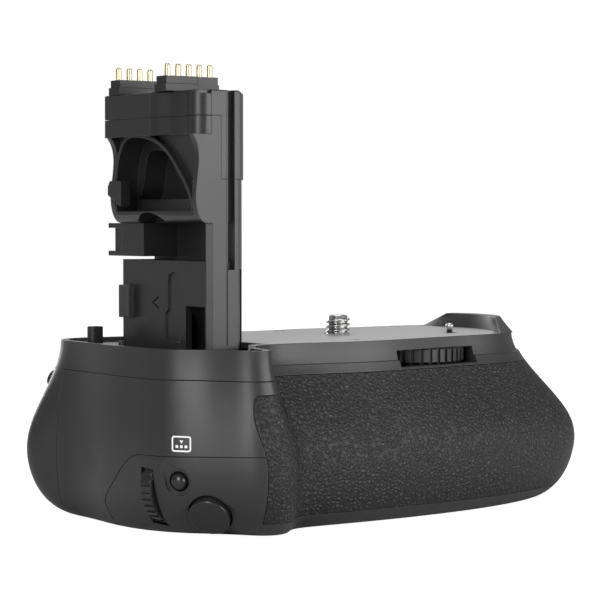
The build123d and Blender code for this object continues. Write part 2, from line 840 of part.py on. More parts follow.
with BuildPart() as control_panel:
    add(panel_shape)
    base_corner_cut(panel_clear + skin_gap)
    add(nose_region, mode=Mode.SUBTRACT)
    split(bisect_by=Plane.YZ.offset(nose_side_x), keep=Keep.BOTTOM)
    add(envelope, mode=Mode.INTERSECT)
    add(under_panel, mode=Mode.SUBTRACT)
    button_cuts()
    wheel_cut()
    with Locations(shutter_plane.offset(dish_radius - dish_depth)):
        Sphere(dish_radius, mode=Mode.SUBTRACT)
    with BuildSketch(function_plane) as function_dish:
        Circle(function_dish_radius)
        with BuildLine():
            Polyline(
                (-function_dish_radius, 0), (-function_dish_tip, function_dish_tip),
                (0, function_dish_radius), (-function_dish_radius, 0),
            )
        make_face()
    extrude(function_dish.sketch, amount=-function_dish_depth, mode=Mode.SUBTRACT)
    extrude(function_dish.sketch, amount=wall, mode=Mode.SUBTRACT)
control_panel.part.label = "control_panel"
export_step(control_panel.part, "parts/control_panel.step")

with BuildPart() as grip_rubber_nose:
    add(nose_shape)
    split(bisect_by=Plane.XY.offset(rubber_bottom + skin_gap), keep=Keep.TOP)
    split(bisect_by=Plane.YZ.offset(nose_side_x - skin_gap), keep=Keep.BOTTOM)
    add(envelope, mode=Mode.INTERSECT)
    add(under_rubber, mode=Mode.SUBTRACT)
grip_rubber_nose.part.label = "grip_rubber_nose"
export_step(grip_rubber_nose.part, "parts/grip_rubber_nose.step")

with BuildPart() as grip_rubber_front:
    rubber_x = (nose_side_x + skin_gap, rubber_right - skin_gap)
    rubber_z = (rubber_bottom + skin_gap, rubber_top - skin_gap)
    span_box(rubber_x, (-far, rubber_rear - skin_gap), rubber_z)
    add(envelope, mode=Mode.INTERSECT)
    add(under_rubber, mode=Mode.SUBTRACT)
    add(cover_opening.part, mode=Mode.SUBTRACT)
grip_rubber_front.part.label = "grip_rubber_front"
export_step(grip_rubber_front.part, "parts/grip_rubber_front.step")

with BuildPart() as top_plate:
    with BuildSketch(Plane.XY.offset(-plate_thickness)):
        with BuildLine():
            Spline(*inset(seat_outline, plate_margin), periodic=True)
        make_face()
    extrude(amount=plate_thickness)
    split(bisect_by=Plane.YZ.offset(collar_right + seam_gap), keep=Keep.TOP)
    add(guard_zone.part, mode=Mode.SUBTRACT)
    add(end_guard.part, mode=Mode.SUBTRACT)
    span_box(well_x, well_y, (-far, far), mode=Mode.SUBTRACT)
    rod(upright(0, 0), screw_hole_radius, -far, far, mode=Mode.SUBTRACT)
    rod(upright(*pin_place), pin_ring_radius, -far, far, mode=Mode.SUBTRACT)
    for place in plate_screw_places:
        rod(upright(*place), plate_head_radius, -plate_head_height, overrun, mode=Mode.SUBTRACT)
        rod(upright(*place), screw_shank_radius, -far, 0, mode=Mode.SUBTRACT)
top_plate.part.label = "top_plate"
export_step(top_plate.part, "parts/top_plate.step")

with BuildPart() as top_plate_screws:
    for place in plate_screw_places:
        rod(upright(*place), plate_head_radius - screw_gap, -plate_head_height, -screw_sink)
        rod(upright(*place), screw_shank_radius, plate_screw_bottom, -plate_head_height)
top_plate_screws.part.label = "top_plate_screws"
export_step(top_plate_screws.part, "parts/top_plate_screws.step")

with BuildPart() as locating_pin:
    rod(upright(*pin_place), pin_shank_radius, -wall, 0)
    rod(upright(*pin_place), pin_radius, 0, pin_height)
    chamfer(locating_pin.edges().group_by(Axis.Z)[-1], pin_chamfer)
locating_pin.part.label = "locating_pin"
export_step(locating_pin.part, "parts/locating_pin.step")

with BuildPart() as seat_peg:
    with BuildSketch(Plane.XY.offset(-collar_floor_drop)):
        with Locations(peg_place):
            RectangleRounded(peg_length, peg_width, peg_corner)
    extrude(amount=collar_floor_drop + peg_height)
    fillet(seat_peg.edges().group_by(Axis.Z)[-1], peg_edge)
seat_peg.part.label = "seat_peg"
export_step(seat_peg.part, "parts/seat_peg.step")

with BuildPart() as guide_stud:
    rod(upright(*stud_place), stud_radius, -collar_floor_drop, stud_height)
    fillet(guide_stud.edges().group_by(Axis.Z)[-1], stud_radius / 2)
guide_stud.part.label = "guide_stud"
export_step(guide_stud.part, "parts/guide_stud.step")


def gear_outline(teeth):
    """Corners of a spur gear with slender straight-sided teeth, the first one on +X."""
    pitch_radius = gear_module * teeth / 2
    root = pitch_radius - gear_root_share * gear_module
    tip = pitch_radius + gear_tip_share * gear_module
    step = 2 * math.pi / teeth
    corners = []
    for tooth in range(teeth):
        for radius, share in (
            (root, -gear_foot_share), (tip, -gear_crest_share),
            (tip, gear_crest_share), (root, gear_foot_share),
        ):
            turn = (tooth + share) * step
            corners.append((radius * math.cos(turn), radius * math.sin(turn)))
    return corners


with BuildPart() as camera_screw:
    rod(upright(0, 0), screw_radius, 0, screw_height)
    chamfer(camera_screw.edges().group_by(Axis.Z)[-1], screw_chamfer)
    rod(upright(0, 0), screw_shaft_radius, screw_flange_z[0], 0)
    rod(upright(0, 0), screw_flange_radius, *screw_flange_z)
    rod(upright(0, 0), screw_shaft_radius, gear_bottom, screw_flange_z[0])
    rod(upright(0, 0), pivot_radius, carrier_z[0], gear_bottom)
camera_screw.part.label = "camera_screw"
export_step(camera_screw.part, "parts/camera_screw.step")

with BuildPart() as screw_gear:
    with BuildSketch(Plane(origin=(0, 0, gear_bottom)).rotated((0, 0, math.degrees(gear_turn)))):
        Polygon(*gear_outline(screw_teeth), align=None)
        Circle(screw_shaft_radius, mode=Mode.SUBTRACT)
    extrude(amount=screw_gear_thickness)
screw_gear.part.label = "screw_gear"
export_step(screw_gear.part, "parts/screw_gear.step")

with BuildPart() as locking_dial:
    rod(dial_axis, dial_radius, *dial_z)
    chamfer(locking_dial.edges(), dial_chamfer)
    with Locations(dial_axis.offset(sum(dial_z) / 2)):
        with PolarLocations(dial_radius, dial_knurls):
            Box(2 * knurl_depth, knurl_width, dial_z[1] - dial_z[0], mode=Mode.SUBTRACT)
    mesh_turn = math.degrees(gear_turn) + 180 + 180 / dial_teeth
    gear_plane = Plane(origin=(dial_x, dial_y, gear_bottom)).rotated((0, 0, mesh_turn))
    with BuildSketch(gear_plane):
        Polygon(*gear_outline(dial_teeth), align=None)
    extrude(amount=dial_z[0] - gear_bottom)
    rod(dial_axis, dial_axle_radius + running_gap, -far, far, mode=Mode.SUBTRACT)
locking_dial.part.label = "locking_dial"
export_step(locking_dial.part, "parts/locking_dial.step")

with BuildPart() as dial_axle:
    rod(dial_axis, dial_axle_radius, carrier_z[0], -wall)
dial_axle.part.label = "dial_axle"
export_step(dial_axle.part, "parts/dial_axle.step")

with BuildPart() as gear_carrier:
    with BuildSketch(Plane.XY.offset(carrier_z[0])):
        Polygon(*carrier_outline, align=None)
    extrude(amount=carrier_z[1] - carrier_z[0])
    for place in carrier_posts:
        rod(upright(*place), carrier_post_radius, carrier_z[0], -wall)
    rod(upright(0, 0), pivot_radius + running_gap, -far, far, mode=Mode.SUBTRACT)
    rod(dial_axis, dial_axle_radius, -far, far, mode=Mode.SUBTRACT)
gear_carrier.part.label = "gear_carrier"
export_step(gear_carrier.part, "parts/gear_carrier.step")


def tower_points(table):
    """Shares of the tower's depth and height as points on an upright plane across it."""
    return [(y * tower_depth, z * tower_height) for y, z in table]


cap_curve = [
    (tower_right + x * tower_thickness, y * tower_depth) for x, y in cap_curve_shares
]


def cap_bar(start, end):
    """Bar with the cap's outline, between two heights."""
    with BuildSketch(Plane.XY.offset(start)) as section:
        with BuildLine():
            curve = Spline(*cap_curve)
            Polyline(
                curve @ 1, (tower_corner_x, tower_front), (tower_right, tower_corner_y),
                (tower_right, tower_back), (cap_left, tower_back), curve @ 0,
            )
        make_face()
    extrude(section.sketch, amount=end - start)


def across(points, start, end, mode):
    """Bar along X between two places, from an outline on the upright plane across the tower."""
    with BuildSketch(Plane.YZ.offset(start)) as section:
        Polygon(*points, align=None)
    extrude(section.sketch, amount=end - start, mode=mode)


def arch_bar(start, end, grow, mode):
    """Bar along X with the arch's outline, grown or shrunk."""
    with BuildSketch(Plane.YZ.offset(start)) as section:
        with BuildLine():
            curve = Spline(*inset(tower_points(arch_shares), -grow))
            Line(curve @ 1, curve @ 0)
        make_face()
    extrude(section.sketch, amount=end - start, mode=mode)


def key_cuts():
    """Slot, strip and groove down the tower's front face."""
    deep = (tower_front - overrun, tower_front + key_slot_depth)
    shallow = (tower_front - overrun, tower_front + key_strip_depth)
    groove_x = (key_strip_left, key_strip_left + groove_width)
    fine = (tower_front - overrun, tower_front + groove_width)
    strip_x = (key_strip_left, key_slot_x[0])
    span_box(key_slot_x, deep, (key_slot_bottom, far), mode=Mode.SUBTRACT)
    span_box(strip_x, deep, (key_slot_bottom, key_strip_bottom), mode=Mode.SUBTRACT)
    span_box(strip_x, shallow, (key_slot_bottom, far), mode=Mode.SUBTRACT)
    span_box(groove_x, fine, (0, key_slot_bottom), mode=Mode.SUBTRACT)


with BuildPart() as tower_sleeve:
    with BuildSketch(Plane.XY.offset(sleeve_bottom)):
        Polygon(
            (sleeve_left, tower_front), (tower_corner_x, tower_front),
            (tower_right, tower_corner_y), (tower_right, tower_back),
            (tower_right - sleeve_thickness, tower_back),
            (tower_right - sleeve_thickness, tower_corner_y + sleeve_thickness / 2),
            (tower_corner_x - sleeve_thickness / 2, tower_front + sleeve_thickness),
            (sleeve_left, tower_front + sleeve_thickness), align=None,
        )
    extrude(amount=cap_floor - sleeve_bottom)

with BuildPart() as scoop_way:
    scoop = Plane(origin=(0, scoop_y, scoop_top - scoop_radius), x_dir=(0, 1, 0), z_dir=(1, 0, 0))
    rod(scoop, scoop_radius, -far, arch_floor_x)
    split(bisect_by=Plane.XY.offset(sum(slot_z) / 2), keep=Keep.TOP)

with BuildPart() as tower_frame:
    with BuildSketch(Plane.XY.offset(flange_bottom)):
        Polygon(*frame_plan, align=None)
    extrude(amount=cap_floor - flange_bottom)
    with BuildSketch(Plane.XY.offset(flange_bottom)):
        Polygon(
            (flange_left, flange_front), (tower_corner_x, flange_front),
            (flange_right, tower_corner_y), (flange_right, flange_back),
            (flange_left, flange_back), align=None,
        )
    extrude(amount=flange_thickness)
    post = [(tower_right + x * tower_thickness, z * tower_height) for x, z in post_profile_shares]
    with BuildSketch(Plane.XZ.offset(-tower_back)):
        with BuildLine():
            Spline(*post)
            post_right = web_left + frame_chamfer
            Polyline(post[-1], (post_right, post[-1][1]), (post_right, head_bottom), post[0])
        make_face()
    extrude(amount=tower_depth)
    span_box((-far, pocket_floor_x), pocket_y, (pocket_bottom, far), mode=Mode.SUBTRACT)
    arch_bar(arch_lip_x, pocket_floor_x + overrun, arch_lip, Mode.ADD)
    arch_bar(-far, arch_floor_x, 0, Mode.SUBTRACT)
    arch_bar(arch_floor_x, inner_arch_floor_x, -inner_arch_inset, Mode.SUBTRACT)
    across(tower_points(lug_shares), lug_x, pocket_floor_x, Mode.ADD)
    add(scoop_way.part, mode=Mode.SUBTRACT)
    cap_bar(head_bottom, cap_floor - head_gap)
    span_box((-far, slot_floor_x), (slot_front, far), slot_z, mode=Mode.SUBTRACT)
    cavity_x = (web_left + frame_wall, frame_right - frame_wall)
    cavity_y = (tower_front + 2 * frame_wall, tower_back - frame_wall)
    span_box(cavity_x, cavity_y, (flange_bottom, cavity_top), mode=Mode.SUBTRACT)
    slit = board_thickness / 2 + board_room
    slit_x = (board_x - slit, board_x + slit - board_room)
    slit_y = (board_y[0] - board_room, board_y[1] + board_room)
    span_box(slit_x, slit_y, (cavity_top - overrun, far), mode=Mode.SUBTRACT)
    span_box((-far, notch_floor_x), notch_y, notch_z, mode=Mode.SUBTRACT)
    across(tower_points(panel_mark_shares), -far, web_left + mark_depth, Mode.SUBTRACT)
    across(tower_points(arrow_shares), -far, web_left + mark_depth, Mode.SUBTRACT)
    key_cuts()
    add(tower_sleeve.part, mode=Mode.SUBTRACT)
    for place in tower_screw_places:
        rod(upright(*place), screw_shank_radius, -far, flange_top + overrun, mode=Mode.SUBTRACT)
        rod(upright(*place), tower_head_radius, -far, tower_head_top, mode=Mode.SUBTRACT)
tower_frame.part.label = "tower_frame"
export_step(tower_frame.part, "parts/tower_frame.step")

with BuildPart() as tower_cap:
    cap_bar(cap_floor, tower_height)
    chamfer(tower_cap.edges().group_by(Axis.Z)[-1], cap_edge)
    add(tower_sleeve.part)
    key_cuts()
    span_box(slit_x, slit_y, (cap_floor - overrun, board_top + board_room), mode=Mode.SUBTRACT)
    notch_reach = (tower_front - overrun, tower_front + top_notch_depth)
    span_box(top_notch_x, notch_reach, (tower_height - top_notch_depth, far), mode=Mode.SUBTRACT)
tower_cap.part.label = "tower_cap"
export_step(tower_cap.part, "parts/tower_cap.step")

with BuildPart() as tower_board:
    board_span_x = (board_x - board_thickness / 2, board_x + board_thickness / 2)
    span_box(board_span_x, board_y, (flange_bottom + board_room, board_top))
tower_board.part.label = "tower_board"
export_step(tower_board.part, "parts/tower_board.step")

with BuildPart() as tower_pad:
    span_box((web_left - pad_thickness, web_left), pad_y, pad_z)
    fillet(tower_pad.edges().group_by(Axis.X)[0], pad_edge)
tower_pad.part.label = "tower_pad"
export_step(tower_pad.part, "parts/tower_pad.step")

with BuildPart() as tower_leaf:
    with BuildSketch(Plane.XZ.offset(-notch_y[1] + running_gap)):
        with BuildLine():
            leaf_arc = ThreePointArc(*leaf_curve)
            leaf_back = ThreePointArc(*[(x + leaf_thickness, z) for x, z in leaf_curve])
            Line(leaf_arc @ 0, leaf_back @ 0)
            Line(leaf_arc @ 1, leaf_back @ 1)
        make_face()
    extrude(amount=notch_y[1] - notch_y[0] - 2 * running_gap)
tower_leaf.part.label = "tower_leaf"
export_step(tower_leaf.part, "parts/tower_leaf.step")

with BuildPart() as door_clip:
    span_box((clip_left, slot_floor_x), (clip_front, tower_back), clip_z)
    clip_x = (clip_left, clip_flange_right)
    span_box(clip_x, (clip_front, clip_reach), (clip_z[0], clip_z[0] + clip_flange))
    span_box(clip_x, (clip_front, clip_reach), (clip_z[1] - clip_flange, clip_z[1]))
    span_box(clip_x, (clip_front, clip_reach - clip_flange), clip_z)
    recess_z = (clip_z[0] + clip_flange, clip_z[1] - clip_flange)
    span_box((clip_left, clip_left + clip_flange), (tower_back, far), recess_z, mode=Mode.SUBTRACT)
door_clip.part.label = "door_clip"
export_step(door_clip.part, "parts/door_clip.step")

with BuildPart() as tower_screws:
    for place in tower_screw_places:
        rod(upright(*place), screw_shank_radius, tower_head_top, tower_screw_top)
        rod(upright(*place), tower_head_radius - screw_gap, flange_bottom + screw_sink, tower_head_top)
tower_screws.part.label = "tower_screws"
export_step(tower_screws.part, "parts/tower_screws.step")


def pin_places(first, count):
    """Places of a row of contact pins."""
    return [(first[0] + step * pin_pitch, first[1]) for step in range(count)]


def block_body(x_span, y_span):
    """Connector block: a base with a smaller top."""
    base_top = tower_height + block_base_height
    span_box(x_span, y_span, (tower_height, base_top))
    inner_x = (x_span[0] + block_step, x_span[1] - block_step)
    inner_y = (y_span[0] + block_step, y_span[1] - block_step)
    span_box(inner_x, inner_y, (base_top, tower_height + block_height))


connectors = {
    "rear": (rear_block_x, rear_block_y, pin_places(rear_pin_place, pin_count_rear)),
    "front": (front_block_x, front_block_y, pin_places(front_pin_place, pin_count_front)),
}
for side, (x_span, y_span, places) in connectors.items():
    with BuildPart() as connector_block:
        block_body(x_span, y_span)
        if side == "front":
            step_y = (y_span[0] - overrun, y_span[0] + front_block_step)
            span_box((front_block_step_x, far), step_y, (0, far), mode=Mode.SUBTRACT)
        for place in places:
            hole = contact_radius + running_gap
            rod(upright(*place), hole, contact_hole_bottom, far, mode=Mode.SUBTRACT)
    connector_block.part.label = f"connector_block_{side}"
    export_step(connector_block.part, f"parts/connector_block_{side}.step")

    with BuildPart() as contact_pins:
        for place in places:
            rod(upright(*place), contact_radius, *contact_z)
        fillet(contact_pins.edges().group_by(Axis.Z)[-1], contact_round)
    contact_pins.part.label = f"contact_pins_{side}"
    export_step(contact_pins.part, f"parts/contact_pins_{side}.step")

for name, (plane, radius, proud) in buttons.items():
    with BuildPart() as button:
        flange_low = -button_seat - button_play - button_flange
        rod(plane, radius, flange_low, proud)
        rod(plane, radius + button_flange_margin, flange_low, -button_seat - button_play)
        rings = button.edges().filter_by(GeomType.CIRCLE)
        crown = rings.sort_by(Axis(plane.origin, plane.z_dir))[-1]
        fillet(crown, button_round if name != "function_button" else radius * dome_share)
    button.part.label = name
    export_step(button.part, f"parts/{name}.step")

with BuildPart() as button_housings:
    for plane, radius, proud in buttons.values():
        rod(plane, radius + button_bore_margin + housing_wall, housing_end, 0)
    add(hollow, mode=Mode.INTERSECT)
    for plane, radius, proud in buttons.values():
        rod(plane, radius + button_bore_margin, housing_floor, 0, mode=Mode.SUBTRACT)
    wheel_cut()
    add(chamber_form.part, mode=Mode.SUBTRACT)
button_housings.part.label = "button_housings"
export_step(button_housings.part, "parts/button_housings.step")

with BuildPart() as button_switches:
    for plane, radius, proud in buttons.values():
        rod(plane, radius * switch_share, housing_floor, switch_top)
button_switches.part.label = "button_switches"
export_step(button_switches.part, "parts/button_switches.step")

with BuildPart() as main_dial:
    half = wheel_thickness / 2
    rod(wheel_plane, wheel_radius, -half, half)
    chamfer(main_dial.edges(), wheel_edge)
    with Locations(wheel_plane):
        with PolarLocations(wheel_radius, wheel_knurls):
            Box(2 * wheel_knurl_depth, wheel_knurl_width, wheel_thickness, mode=Mode.SUBTRACT)
    rod(wheel_plane, wheel_axle_radius + running_gap, -far, far, mode=Mode.SUBTRACT)
main_dial.part.label = "main_dial"
export_step(main_dial.part, "parts/main_dial.step")

with BuildPart() as main_dial_axle:
    rod(wheel_plane, wheel_axle_radius, -wheel_axle_length / 2, wheel_axle_length / 2)
main_dial_axle.part.label = "main_dial_axle"
export_step(main_dial_axle.part, "parts/main_dial_axle.step")

with BuildPart() as dial_bracket:
    outer = wheel_axle_length / 2
    inner = outer - cheek_thickness
    rod(wheel_plane, wheel_radius + 2 * wheel_room + cheek_thickness, -outer, outer)
    add(hollow, mode=Mode.INTERSECT)
    rod(wheel_plane, wheel_radius + 2 * wheel_room, -inner, inner, mode=Mode.SUBTRACT)
    rod(wheel_plane, wheel_axle_radius, -far, far, mode=Mode.SUBTRACT)
    for plane, radius, proud in buttons.values():
        rod(plane, radius + button_bore_margin + housing_wall, housing_end, 0, mode=Mode.SUBTRACT)
    add(chamber_form.part, mode=Mode.SUBTRACT)
dial_bracket.part.label = "dial_bracket"
export_step(dial_bracket.part, "parts/dial_bracket.step")

with BuildPart() as power_lever:
    rod(lever_plane, lever_radius, -lever_pad_depth + running_gap, lever_proud)
    rod(lever_plane, lever_shaft_radius, -lever_reach, 0)
    rod(lever_plane, lever_keep_radius, -lever_reach, -lever_reach + lever_keep_height)
    with Locations(lever_plane.offset(lever_proud + lever_fin_height / 2)):
        Box(2 * lever_radius * fin_share, lever_fin_width, lever_fin_height)
power_lever.part.label = "power_lever"
export_step(power_lever.part, "parts/power_lever.step")

with BuildPart() as battery_chamber:
    add(chamber_form.part)
    for x in chamber_feet_x:
        for y in chamber_feet_y:
            rod(upright(x, y), chamber_foot_radius, socket_flange_bottom, tray_z)
    tray_section(chamber_left, far, chamber_gap, tray_corner + chamber_gap, mode=Mode.SUBTRACT)
    axle_end = wheel_axle_length / 2 + running_gap
    rod(wheel_plane, wheel_axle_radius + running_gap, -axle_end, axle_end, mode=Mode.SUBTRACT)
battery_chamber.part.label = "battery_chamber"
export_step(battery_chamber.part, "parts/battery_chamber.step")

with BuildPart() as magazine_tray:
    tray_section(tray_left, tray_right, 0, tray_corner)
    tray_section(tray_right, cover_left, -seal_wall, tray_corner)
    for bay in range(2):
        bay_x = tray_left + tray_wall + bay * (bay_length + tray_wall)
        bay_y = (tray_y - bay_width / 2, tray_y + bay_width / 2)
        span_box((bay_x, bay_x + bay_length), bay_y, (tray_top - bay_depth, far), mode=Mode.SUBTRACT)
magazine_tray.part.label = "magazine_tray"
export_step(magazine_tray.part, "parts/magazine_tray.step")

with BuildPart() as magazine_seal:
    tray_section(tray_right, cover_left, cover_margin - seal_gap, cover_corner - seal_gap)
    tray_section(tray_right, cover_left, -seal_wall, tray_corner, mode=Mode.SUBTRACT)
magazine_seal.part.label = "magazine_seal"
export_step(magazine_seal.part, "parts/magazine_seal.step")

knob_plane = Plane(origin=(0, knob_y, knob_z), x_dir=(0, 1, 0), z_dir=(1, 0, 0))
with BuildPart() as magazine_cover:
    tray_section(cover_left, far, cover_margin, cover_corner)
    add(envelope, mode=Mode.INTERSECT)
    latch_room_y = (knob_y - latch_width / 2 - latch_room, knob_y + latch_reach + latch_room)
    latch_room_z = (knob_z - latch_width / 2 - latch_room, 0)
    latch_room_x = (cover_left - overrun, latch_x[1] + latch_room)
    span_box(latch_room_x, latch_room_y, latch_room_z, mode=Mode.SUBTRACT)
    rod(knob_plane, knob_radius + knob_gap, knob_x[0] - running_gap, far, mode=Mode.SUBTRACT)
    rod(knob_plane, knob_shaft_radius + running_gap, 0, far, mode=Mode.SUBTRACT)
magazine_cover.part.label = "magazine_cover"
export_step(magazine_cover.part, "parts/magazine_cover.step")

with BuildPart() as magazine_knob:
    rod(knob_plane, knob_radius, *knob_x)
    fillet(magazine_knob.edges().group_by(Axis.X)[-1], knob_edge)
    grip_y = (knob_y - knob_radius * knob_grip_share, knob_y + knob_radius * knob_grip_share)
    grip_z = (knob_z - knob_grip_width / 2, knob_z + knob_grip_width / 2)
    span_box((knob_x[1] - knob_edge, knob_grip_top), grip_y, grip_z)
    rod(knob_plane, knob_shaft_radius, latch_x[0], knob_x[0])
magazine_knob.part.label = "magazine_knob"
export_step(magazine_knob.part, "parts/magazine_knob.step")

with BuildPart() as magazine_latch:
    rod(knob_plane, latch_width / 2, *latch_x)
    latch_y = (knob_y, knob_y + latch_reach)
    span_box(latch_x, latch_y, (knob_z - latch_width / 2, knob_z + latch_width / 2))
    rod(knob_plane, knob_shaft_radius, *latch_x, mode=Mode.SUBTRACT)
magazine_latch.part.label = "magazine_latch"
export_step(magazine_latch.part, "parts/magazine_latch.step")

contact_places = [
    tray_y + (step - (strip_count - 1) / 2) * strip_pitch for step in range(strip_count)
]
strip_z = (tray_z - strip_height / 2, tray_z + strip_height / 2)
with BuildPart() as magazine_contacts:
    for y in contact_places:
        strip_y = (y - strip_width / 2, y + strip_width / 2)
        span_box((tray_left - strip_thickness, tray_left), strip_y, strip_z)
magazine_contacts.part.label = "magazine_contacts"
export_step(magazine_contacts.part, "parts/magazine_contacts.step")

with BuildPart() as chamber_contacts:
    for y in contact_places:
        strip_y = (y - strip_width / 2, y + strip_width / 2)
        span_box((chamber_left, tray_left - strip_thickness - strip_room), strip_y, strip_z)
chamber_contacts.part.label = "chamber_contacts"
export_step(chamber_contacts.part, "parts/chamber_contacts.step")

with BuildPart() as main_board:
    chamber_top = tray_top + chamber_gap + chamber_wall
    board_low = chamber_top + board_post_height
    span_box(main_board_x, main_board_y, (board_low, board_low + board_thickness))
    for x in (main_board_x[0] + board_inset, main_board_x[1] - board_inset):
        for y in (main_board_y[0] + board_inset, main_board_y[1] - board_inset):
            rod(upright(x, y), board_post_radius, chamber_top, board_low)
main_board.part.label = "main_board"
export_step(main_board.part, "parts/main_board.step")
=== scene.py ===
# %% [markdown]
# # A camera battery grip
# The grip screws under a camera, and its tower fills the camera's battery chamber.
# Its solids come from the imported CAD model. This script gives them their finishes, adds the
# finer pieces, and lights them as for a catalogue picture. All lengths are in metres.

# %% Load the frame
import json
import math

import bmesh
import bpy
from mathutils import Matrix, Vector
from mathutils.bvhtree import BVHTree


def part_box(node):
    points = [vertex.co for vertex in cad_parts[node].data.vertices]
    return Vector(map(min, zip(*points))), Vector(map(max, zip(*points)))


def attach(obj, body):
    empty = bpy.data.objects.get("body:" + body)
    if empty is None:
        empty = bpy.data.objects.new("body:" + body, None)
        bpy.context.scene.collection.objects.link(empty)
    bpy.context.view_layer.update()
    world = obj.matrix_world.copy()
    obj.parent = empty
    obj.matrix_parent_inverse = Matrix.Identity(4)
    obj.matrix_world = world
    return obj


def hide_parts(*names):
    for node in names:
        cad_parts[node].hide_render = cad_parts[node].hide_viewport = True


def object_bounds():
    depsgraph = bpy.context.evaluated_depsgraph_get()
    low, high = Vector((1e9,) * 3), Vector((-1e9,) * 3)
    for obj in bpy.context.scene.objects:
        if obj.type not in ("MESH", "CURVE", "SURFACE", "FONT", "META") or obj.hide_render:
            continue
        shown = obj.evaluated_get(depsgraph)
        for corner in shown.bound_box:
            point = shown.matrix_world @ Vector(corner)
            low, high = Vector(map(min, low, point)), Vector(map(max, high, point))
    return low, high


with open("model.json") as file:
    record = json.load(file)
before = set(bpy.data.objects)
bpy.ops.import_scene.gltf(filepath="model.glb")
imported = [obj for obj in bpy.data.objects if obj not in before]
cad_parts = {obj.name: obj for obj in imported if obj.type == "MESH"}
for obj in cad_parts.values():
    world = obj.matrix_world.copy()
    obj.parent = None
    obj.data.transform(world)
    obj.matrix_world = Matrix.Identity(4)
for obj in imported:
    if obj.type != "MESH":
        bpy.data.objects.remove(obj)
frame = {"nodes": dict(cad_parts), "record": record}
nodes = frame["nodes"]
cad_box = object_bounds()
print("nodes", len(nodes), "box", [round(c, 4) for c in (*cad_box[0], *cad_box[1])])

# %% [markdown]
# The camera stands to the front left of the grip, a little above the plate that the camera body
# rests on. It could stand close with a short lens, but from further away a long lens keeps the
# perspective weak, as in product pictures.

# %% Camera
CAMERA_PLACE = (-0.3355, -0.4554, 0.0294)
CAMERA_TURN = math.radians(-35.4)
CAMERA_DIP = math.radians(2.11)
LENS_MM = 132
SENSOR_MM = 36
NEAREST_SEEN = 0.01

lens = bpy.data.cameras.new("catalogue_camera")
lens.lens, lens.sensor_width = LENS_MM, SENSOR_MM
lens.clip_start = NEAREST_SEEN
camera = bpy.data.objects.new("catalogue_camera", lens)
camera.location = CAMERA_PLACE
camera.rotation_euler = (math.pi / 2 - CAMERA_DIP, 0, CAMERA_TURN)
bpy.context.scene.collection.objects.link(camera)
bpy.context.scene.camera = camera
bpy.context.scene.view_settings.view_transform = "Standard"
print("camera distance", round(Vector(CAMERA_PLACE).length, 3), "lens mm", LENS_MM)

# %% [markdown]
# The floor and the backdrop are white paper in such a picture. A lit white floor alone would come
# out grey, and more light would wash out the object. So Light Path tells what the camera sees
# from what lights the grip: both are plain white to the camera, and dimmer as light. The camera
# still sees a share of the lit floor, which keeps the shadow.

# %% World and floor
WORLD_LIGHT = 0.30
FLOOR_SIZE = 6.0
FLOOR_COLOUR = (0.75, 0.75, 0.75, 1)
FLOOR_ROUGHNESS = 0.6
FLOOR_GLOW = 1.35
FLOOR_SHARE = 0.70

world = bpy.data.worlds.new("studio")
world.use_nodes = True
bpy.context.scene.world = world
sky = world.node_tree
sky.nodes["Background"].inputs["Color"].default_value = (1, 1, 1, 1)
dim = sky.nodes.new("ShaderNodeMapRange")
dim.inputs["To Min"].default_value = WORLD_LIGHT
dim.inputs["To Max"].default_value = 1.0
path = sky.nodes.new("ShaderNodeLightPath")
sky.links.new(path.outputs["Is Camera Ray"], dim.inputs["Value"])
sky.links.new(dim.outputs[0], sky.nodes["Background"].inputs["Strength"])

floor_mesh = bpy.data.meshes.new("floor")
bm = bmesh.new()
bmesh.ops.create_grid(bm, x_segments=1, y_segments=1, size=FLOOR_SIZE / 2)
bmesh.ops.translate(bm, vec=(0, 0, cad_box[0].z), verts=bm.verts)
bm.to_mesh(floor_mesh)
bm.free()
floor = bpy.data.objects.new("floor", floor_mesh)
bpy.context.scene.collection.objects.link(floor)

pale = bpy.data.materials.new("pale_floor")
pale.use_nodes = True
tree = pale.node_tree
tree.nodes["Principled BSDF"].inputs["Base Color"].default_value = FLOOR_COLOUR
tree.nodes["Principled BSDF"].inputs["Roughness"].default_value = FLOOR_ROUGHNESS
glow = tree.nodes.new("ShaderNodeEmission")
glow.inputs["Strength"].default_value = FLOOR_GLOW
mix = tree.nodes.new("ShaderNodeMixShader")
share = tree.nodes.new("ShaderNodeMath")
share.operation = "MULTIPLY"
share.inputs[1].default_value = FLOOR_SHARE
eye = tree.nodes.new("ShaderNodeLightPath")
tree.links.new(eye.outputs["Is Camera Ray"], share.inputs[0])
tree.links.new(share.outputs[0], mix.inputs["Fac"])
tree.links.new(tree.nodes["Principled BSDF"].outputs[0], mix.inputs[1])
tree.links.new(glow.outputs[0], mix.inputs[2])
tree.links.new(mix.outputs[0], tree.nodes["Material Output"].inputs["Surface"])
floor_mesh.materials.append(pale)
print("floor at", round(cad_box[0].z, 4))

# %% [markdown]
# Black plastic shows mostly what it reflects. Small lamps would give it hard spots, so the light
# comes from wide soft panels. The one at the front right gives the faces on that side their
# sheen, a narrower one at the left picks out the curves there, and the others reach the far rim,
# the plate and the rear. Each panel is given by its brightness, so its size can change alone.

# %% Light panels
LIGHT_AIM = Vector((0, 0, 0.01))


def light_panel(name, place, size, radiance):
    """Soft rectangular light of a given width, height and brightness, facing the grip."""
    data = bpy.data.lights.new(name, "AREA")
    data.shape = "RECTANGLE"
    data.size, data.size_y = size
    data.energy = radiance * math.pi * size[0] * size[1]
    panel = bpy.data.objects.new(name, data)
    panel.location = place
    away = Vector(place) - LIGHT_AIM
    panel.rotation_euler = away.to_track_quat("Z", "Y").to_euler()
    bpy.context.scene.collection.objects.link(panel)


